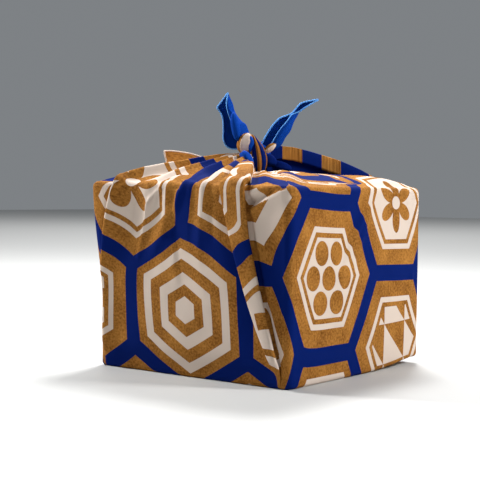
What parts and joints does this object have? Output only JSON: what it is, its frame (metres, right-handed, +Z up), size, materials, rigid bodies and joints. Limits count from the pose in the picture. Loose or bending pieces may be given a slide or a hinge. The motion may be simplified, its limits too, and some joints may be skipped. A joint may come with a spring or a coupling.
{
  "type": "furoshiki wrap",
  "caption": "Square printed cloth wrapped round a box-shaped parcel and tied on top in a square knot with two standing ends.",
  "frame": {"origin": "middle of the parcel's underside, on the surface it stands on", "axes": "+Z up through the knot; the tied ends rise over the -Y and +Y faces, the plain folded ends over the -X and +X faces"},
  "size_m": [0.2098, 0.2148, 0.237],
  "materials": {
    "printed_cloth": "soft matt cotton crepe, printed with a blue hexagon net on mottled gold with off-white rings; plain blue tied ends"
  },
  "bodies": {
    "root": {"furoshiki_cloth": "printed_cloth"}
  },
  "joints": []
}
